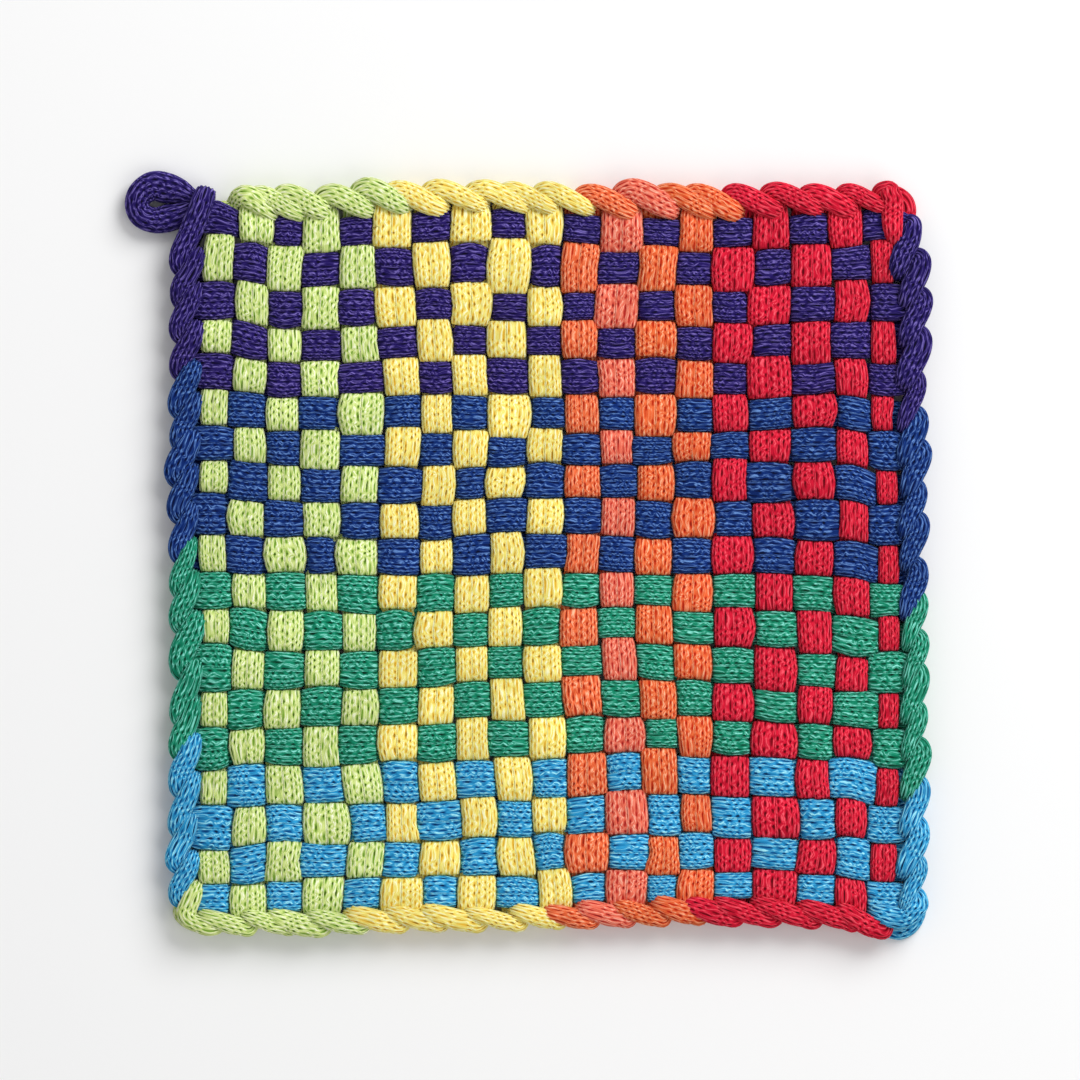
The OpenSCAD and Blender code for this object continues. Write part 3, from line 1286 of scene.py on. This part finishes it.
@dataclass
class KnitFinish:
    """Dyed knit: ribs, small staggered holes and loose fibres, with painted shade in
    the grooves and holes and painted highlights on the crests.

    Attributes:
        wander_scale: Scale of the noise that bends the rows of stitches.
        patch_scale: Scale of the noise that makes yarn and holes uneven.
        broad_scale: Scale of the slow change between light and dark.
        relief: Depth of the finest relief, in millimetres.
        relief_strength: How strongly it shows.
        specular: Specular level of the yarn.
        sheen: Weight of the sheen.
        sheen_roughness: Its roughness.
        group: The shared node group, made on first use.
    """

    wander_scale: float = 330.0
    patch_scale: float = 420.0
    broad_scale: float = 95.0
    relief: float = 0.25
    relief_strength: float = 0.7
    specular: float = 0.15
    sheen: float = 0.1
    sheen_roughness: float = 0.5
    group: bpy.types.NodeTree | None = None

    def knit_group(self) -> bpy.types.NodeTree:
        """The group that turns the knit UV map into colour and height.

        Ribs are 0.5 + 0.5 cos(2 pi u), where u counts ribs. The net is
        sin(pi u) cos(2 pi v), where v counts stitches: it is high where two
        ribs part, and the holes are there. The yarns slant across each rib.
        Painted highlights of light fibres lie on the crests, painted shade lies in the
        grooves and darker painted shade in the holes, and noise makes holes and
        fibres uneven.

        Returns:
            The group, with colours and the strength of the painted shade in the holes
            going in, and colour, height and roughness coming out.
        """
        group = bpy.data.node_groups.new("knit_yarn", "ShaderNodeTree")
        # Colours going in: painted shade, the dye's own colour, and painted highlight.
        for name in ("Painted Shade", "Main", "Light"):
            group.interface.new_socket(name, in_out="INPUT", socket_type="NodeSocketColor")
        group.interface.new_socket("Hole Shade", in_out="INPUT", socket_type="NodeSocketFloat")
        group.interface.new_socket("Color", in_out="OUTPUT", socket_type="NodeSocketColor")
        for name in ("Height", "Roughness"):
            group.interface.new_socket(name, in_out="OUTPUT", socket_type="NodeSocketFloat")
        graph = Graph(group)
        given = graph.node("NodeGroupInput")
        result = graph.node("NodeGroupOutput")
        uv_map = graph.node("ShaderNodeUVMap", uv_map="knit")
        split = graph.node("ShaderNodeSeparateXYZ")
        graph.feed(split.inputs[0], uv_map.outputs[0])
        place = graph.node("ShaderNodeTexCoord").outputs["Object"]
        ribs = split.outputs[0]
        wander = graph.minus(graph.noise(place, self.wander_scale, 1.0), 0.5)
        along = graph.plus(split.outputs[1], graph.times(wander, 1.3))

        crest = graph.half_up(graph.turn("COSINE", ribs, 2.0))
        across = graph.turn("SINE", ribs, 1.0)
        lengthwise = graph.turn("COSINE", along, 2.0)
        narrow = graph.times(across, graph.times(across, across))
        net = graph.times(narrow, lengthwise)

        stretched = graph.node("ShaderNodeCombineXYZ")
        graph.feed(stretched.inputs[0], graph.times(ribs, 4.5))
        graph.feed(stretched.inputs[1], graph.times(along, 2.0))
        fibres = graph.noise(stretched.outputs[0], 1.0, 3.0)
        patches = graph.noise(place, self.patch_scale, 2.0)
        broad = graph.noise(place, self.broad_scale, 1.0)
        rib_offset = graph.minus(ribs, graph.math("ROUND", ribs))
        slanted = graph.plus(along, graph.times(rib_offset, 0.45))
        yarns = graph.half_up(graph.turn("COSINE", slanted, 4.0))

        # Painted shade in the holes between stitches, where the net is high, made uneven by noise; the same
        # mask also lowers the relief.
        uneven = graph.plus(net, graph.times(graph.minus(patches, 0.5), 1.7))
        holes = graph.times(graph.ramp(uneven, 0.66, 1.1), given.outputs["Hole Shade"])
        # Painted shade in the grooves between ribs, strongest where two ribs part.
        groove = graph.times(graph.ramp(crest, 0.5, 0.0), graph.ramp(net, -0.9, 0.6))
        # Painted highlight: light fibres on the rib crests, where the fibre noise is high.
        hairs = graph.ramp(graph.plus(fibres, graph.times(yarns, 0.05)), 0.48, 0.68)
        lit = graph.times(graph.ramp(crest, 0.1, 0.8), hairs)
        body = graph.mix(groove, given.outputs["Main"], given.outputs["Painted Shade"])
        body = graph.mix(lit, body, given.outputs["Light"])
        # Painted shade between the fibres: where the fibre noise is low, the colour is mixed towards the
        # shaded colour.
        fibre_gap_shade = graph.times(graph.ramp(fibres, 0.5, 0.3), 0.55)
        body = graph.mix(fibre_gap_shade, body, given.outputs["Painted Shade"])
        shade = graph.plus(graph.times(patches, 0.34), 0.6)
        shade = graph.plus(graph.times(broad, 0.44), shade)
        shade_color = graph.node("ShaderNodeCombineColor")
        for socket in shade_color.inputs[:3]:
            graph.feed(socket, shade)
        body = graph.mix(1.0, body, shade_color.outputs[0], "MULTIPLY")
        # Colour of the painted shade in the holes: the shaded groove colour, darker still.
        dark = graph.mix(1.0, given.outputs["Painted Shade"], HOLE_SHADE_TINT, "MULTIPLY")
        graph.feed(result.inputs["Color"], graph.mix(holes, body, dark))

        height = graph.times(crest, 0.3)
        height = graph.plus(height, graph.times(fibres, 0.8))
        height = graph.plus(height, graph.times(yarns, 0.05))
        height = graph.minus(height, graph.times(holes, 0.5))
        graph.feed(result.inputs["Height"], height)
        graph.feed(result.inputs["Roughness"], graph.minus(0.95, graph.times(lit, 0.12)))
        return group

    def material(self, dye: DyedCotton) -> bpy.types.Material:
        """The material of a dye.

        Args:
            dye: The dye.

        Returns:
            The material, named after the dye's slot.
        """
        if self.group is None:
            self.group = self.knit_group()
        made = bpy.data.materials.new(f"{dye.slot}_knit")
        made.use_nodes = True
        graph = Graph(made.node_tree)
        shader = made.node_tree.nodes["Principled BSDF"]
        knit = graph.node("ShaderNodeGroup", node_tree=self.group)
        # The dye's painted shade, own colour and painted highlight.
        for name, color in (("Painted Shade", dye.painted_shade), ("Main", dye.main), ("Light", dye.light)):
            knit.inputs[name].default_value = (*color, 1)
        # Strength of the painted shade in the holes.
        knit.inputs["Hole Shade"].default_value = dye.holes
        bump = graph.node("ShaderNodeBump")
        bump.inputs["Strength"].default_value = self.relief_strength
        bump.inputs["Distance"].default_value = self.relief * MM
        graph.feed(bump.inputs["Height"], knit.outputs["Height"])
        graph.feed(shader.inputs["Normal"], bump.outputs[0])
        graph.feed(shader.inputs["Base Color"], knit.outputs["Color"])
        graph.feed(shader.inputs["Roughness"], knit.outputs["Roughness"])
        shader.inputs["Specular IOR Level"].default_value = self.specular
        shader.inputs["Sheen Weight"].default_value = self.sheen
        shader.inputs["Sheen Tint"].default_value = (*dye.light, 1)
        shader.inputs["Sheen Roughness"].default_value = self.sheen_roughness
        return made


@dataclass
class Studio:
    """Pale table, soft lamps and the camera straight above.

    Attributes:
        picture: Width of the photograph in pixels.
        pixel: Size of one of its pixels on the cloth, in millimetres.
        weave_middle: Pixel at which the middle of the weave shows.
        camera_height: Height of the camera above the table, in metres.
        sensor: Width of the camera's sensor, in millimetres.
        table_reach: Distance from the table's middle to its edge, in metres.
        surroundings: Strength of the light from all round.
    """

    picture: int = 1080
    pixel: float = 0.209
    weave_middle: tuple[float, float] = (551.0, 560.0)
    camera_height: float = 1.2
    sensor: float = 36.0
    table_reach: float = 4.0
    surroundings: float = 0.48

    def camera(self) -> None:
        """Looks straight down, so that the picture's width spans its real width."""
        lens = bpy.data.cameras.new("camera")
        width = self.picture * self.pixel * MM
        lens.sensor_fit = "HORIZONTAL"
        lens.sensor_width = self.sensor
        lens.lens = self.sensor * self.camera_height / width
        lens.clip_start = 0.01
        view = linked("camera", lens)
        half = self.picture / 2
        x = (half - self.weave_middle[0]) * self.pixel * MM
        y = (self.weave_middle[1] - half) * self.pixel * MM
        view.location = (x, y, self.camera_height)
        bpy.context.scene.camera = view

    def lamp(self, name: str, place: tuple[float, float, float], size: float, power: float) -> None:
        """A square area lamp aimed at the cloth.

        Args:
            name: Its name.
            place: Where it hangs, in metres.
            size: Its width, in metres.
            power: Its power, in watts.
        """
        data = bpy.data.lights.new(name, "AREA")
        data.size = size
        data.energy = power
        lamp = linked(name, data)
        lamp.location = place
        lamp.rotation_mode = "QUATERNION"
        lamp.rotation_quaternion = Vector(place).to_track_quat("Z", "Y")

    def table(self) -> None:
        """A wide white table top that keeps the cloth's shadow."""
        mesh = bpy.data.meshes.new("table_top")
        reach = self.table_reach
        corners = [(-reach, -reach, 0), (reach, -reach, 0), (reach, reach, 0), (-reach, reach, 0)]
        mesh.from_pydata(corners, [], [(0, 1, 2, 3)])
        top = linked("table_top", mesh)
        paint = bpy.data.materials.new("table_white")
        paint.use_nodes = True
        shader = paint.node_tree.nodes["Principled BSDF"]
        shader.inputs["Base Color"].default_value = (0.9, 0.9, 0.9, 1)
        shader.inputs["Roughness"].default_value = 0.9
        mesh.materials.append(paint)

    def world(self) -> None:
        """Even white surroundings, white to the camera."""
        world = bpy.data.worlds.new("studio")
        world.use_nodes = True
        graph = Graph(world.node_tree)
        background = world.node_tree.nodes["Background"]
        rays = graph.node("ShaderNodeLightPath")
        seen = graph.math("MAXIMUM", rays.outputs["Is Camera Ray"], rays.outputs["Is Glossy Ray"])
        seen = graph.math("MAXIMUM", seen, rays.outputs["Is Transmission Ray"])
        strength = graph.plus(graph.times(seen, 1 - self.surroundings), self.surroundings)
        graph.feed(background.inputs["Strength"], strength)
        background.inputs["Color"].default_value = (1, 1, 1, 1)
        bpy.context.scene.world = world

    def build(self) -> None:
        """Sets up the whole studio."""
        bpy.context.scene.view_settings.view_transform = "Standard"
        self.camera()
        self.world()
        self.table()
        self.lamp("key", (0.62, 0.78, 0.85), size=0.8, power=14.0)
        self.lamp("fill", (0.7, -0.5, 1.0), size=0.9, power=3.0)


def make_loops(cloth: Cloth, tube: KnitTube) -> list[ClothLoop]:
    """All 38 loops of the weave, warp first.

    The warp was stretched on the loom and has sprung back, so it is wider
    than the weft and its upper floats are longer.

    Args:
        cloth: The sizes that all the loops share.
        tube: The knitted tube that they are made of.

    Returns:
        The loops, each with the bands that cross it.
    """
    last = cloth.count
    warp = [
        ClothLoop(
            cloth=cloth,
            tube=tube,
            name=f"warp_loop_{number:02d}",
            dye=WARP_DYES[number - 1],
            number=number,
            warp=True,
            first_over=(number + last) % 2 == 1,
            far_end={1: End.START, last: End.CORNER}.get(number, End.PLAIN),
            near_end={1: End.CORNER}.get(number, End.PLAIN),
            half_band=WARP_HALF_BANDS[number - 1],
            crimp=1.5,
            lift=0.08,
            corner_turns=(-3.1, 0.0) if number == last else (1.0, 2.0),
            corner_reach=0.0 if number == last else -0.7,
            seed=number,
        )
        for number in range(1, last + 1)
    ]
    weft = [
        ClothLoop(
            cloth=cloth,
            tube=tube,
            name=f"weft_loop_{number:02d}",
            dye=WEFT_DYES[number - 1],
            number=number,
            warp=False,
            first_over=number % 2 == 1,
            far_end={last: End.CORNER}.get(number, End.PLAIN),
            near_end={1: End.FREE, 2: End.WRAP}.get(number, End.PLAIN),
            half_band=WEFT_HALF_BANDS[number - 1],
            crimp=1.4,
            lift=-0.08,
            corner_turns=(-0.4, 2.3),
            squeezed=number == 1,
            seed=100 + number,
        )
        for number in range(1, last + 1)
    ]
    for loop in warp:
        loop.cross(weft[::-1])
    for loop in weft:
        loop.cross(warp)
    return warp + weft


def main(frame: dict) -> None:
    """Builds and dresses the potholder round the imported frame.
    """
    logging.basicConfig(level=logging.INFO, format="%(message)s")
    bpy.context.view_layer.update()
    Studio().build()
    finish = KnitFinish()
    materials = {dye.slot: finish.material(dye) for dye in dict.fromkeys(WARP_DYES + WEFT_DYES)}
    cloth = Cloth()
    tube = KnitTube()
    for loop in make_loops(cloth, tube):
        loop.build()
        loop.dress(materials)
        LOG.info("%s: %d faces", loop.name, len(loop.piece.data.polygons))
    hanging = HangingLoop(cloth, tube)
    hanging.build()
    hanging.dress(materials)
    LOG.info("hanging_loop: %d faces", len(hanging.piece.data.polygons))
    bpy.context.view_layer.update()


if __name__ == "__main__":
    main(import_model())
